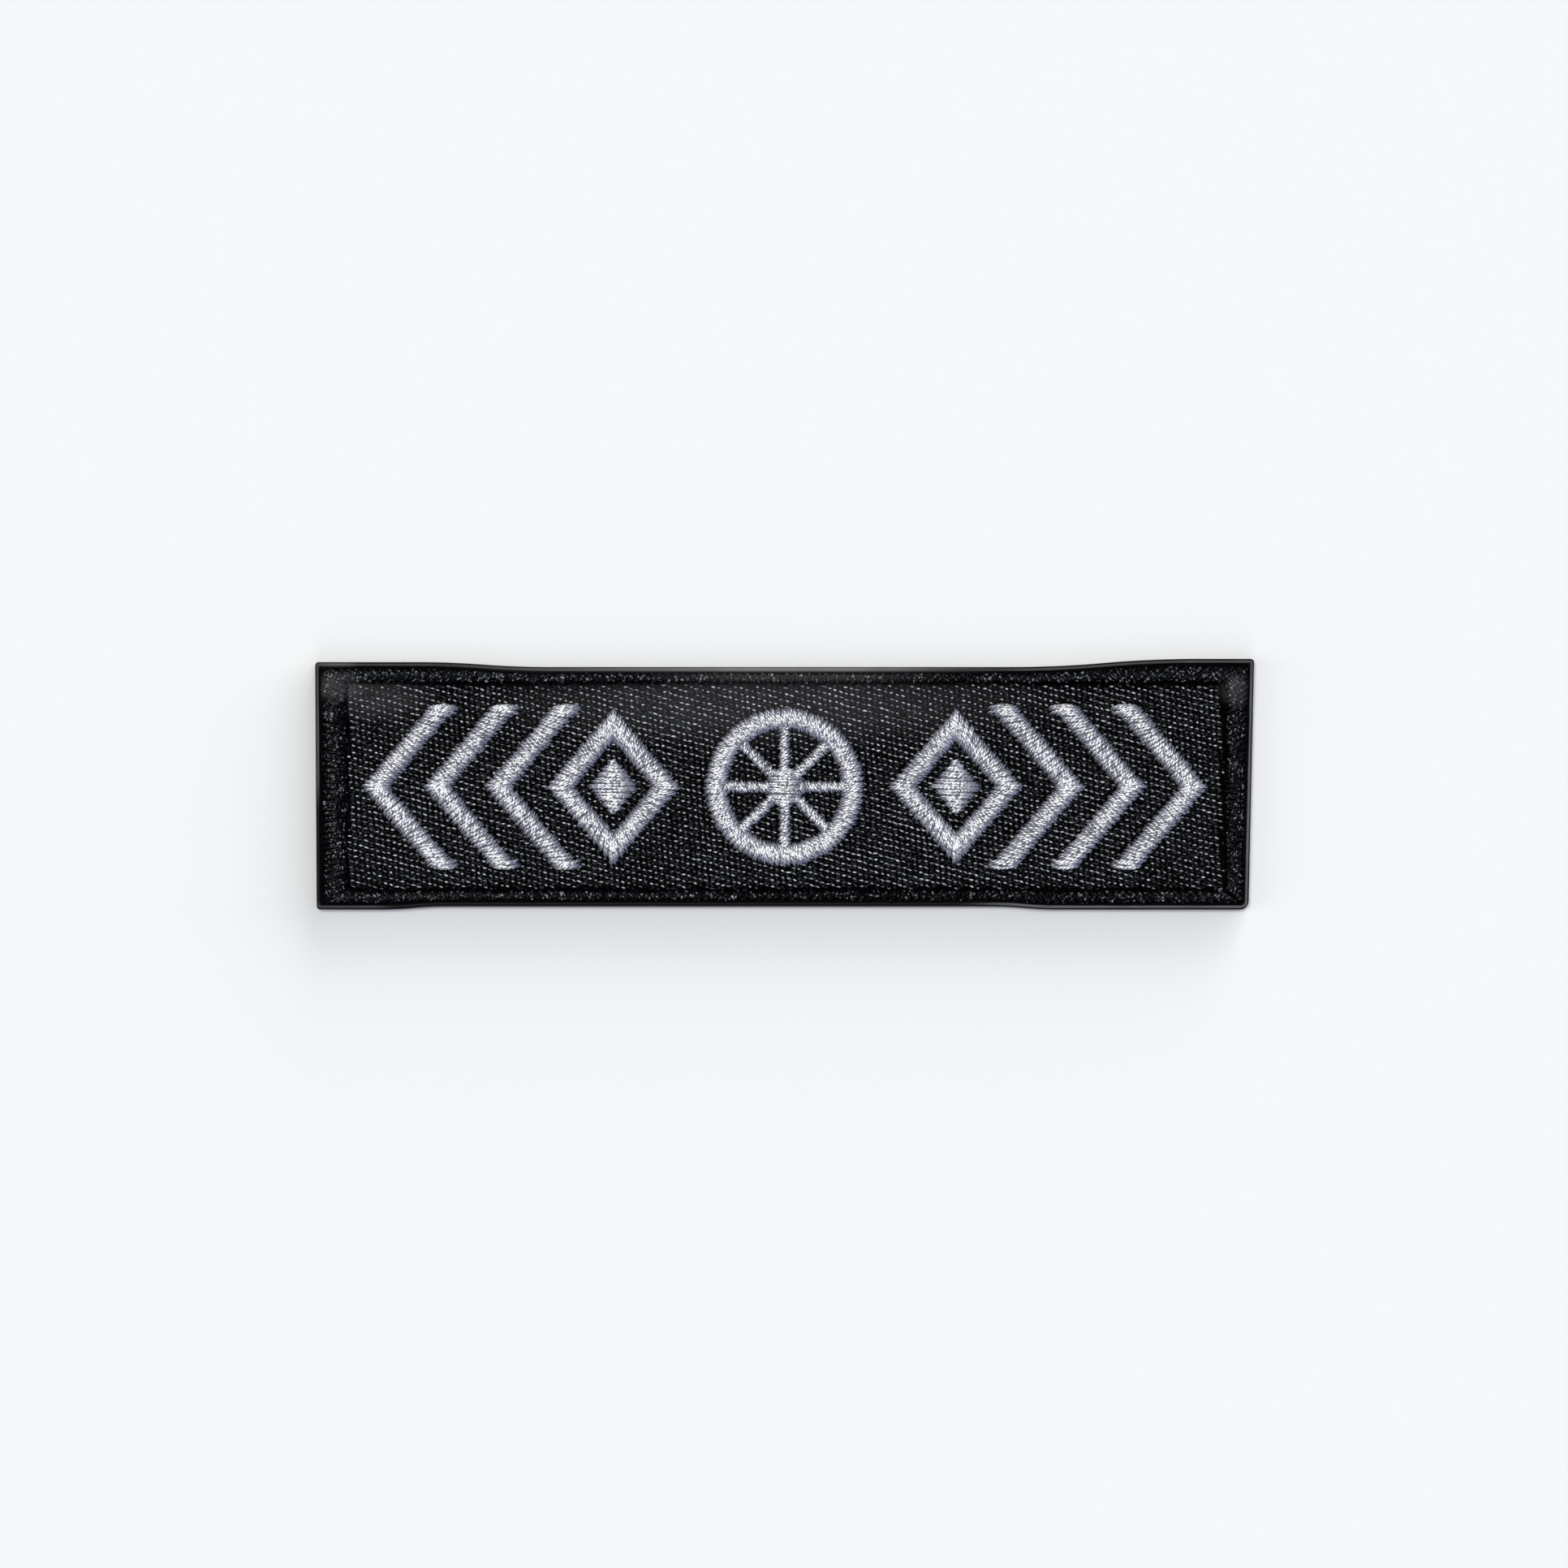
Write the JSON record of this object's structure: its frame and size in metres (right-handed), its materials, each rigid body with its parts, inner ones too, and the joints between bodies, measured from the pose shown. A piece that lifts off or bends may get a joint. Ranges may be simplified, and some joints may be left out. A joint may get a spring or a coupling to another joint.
{
  "type": "embroidered biker patch",
  "caption": "Rectangular embroidered name-strip patch: black twill, sealed rim, stitched border and a row of satin-stitched wheel, lozenges and chevrons. Sews on flat by its back.",
  "frame": {"origin": "the middle of the patch's flat back", "axes": "+X along the patch, +Y up its face as worn, +Z out of its face"},
  "size_m": [0.1, 0.0266, 0.0021],
  "materials": {
    "black_twill": "black polyester twill with bright yarn flecks, melted smooth along its cut edge",
    "black_thread": "black embroidery thread in close satin stitches, with a low sheen",
    "silver_thread": "lustrous silver-white embroidery thread in satin stitches"
  },
  "bodies": {
    "root": {"ground_cloth": "black_twill", "border_stitching": "black_thread", "wheel": "silver_thread", "lozenge_left": "silver_thread", "lozenge_right": "silver_thread", "lozenge_core_left": "silver_thread", "lozenge_core_right": "silver_thread", "chevron_left_1": "silver_thread", "chevron_left_2": "silver_thread", "chevron_left_3": "silver_thread", "chevron_right_1": "silver_thread", "chevron_right_2": "silver_thread", "chevron_right_3": "silver_thread"}
  },
  "joints": []
}
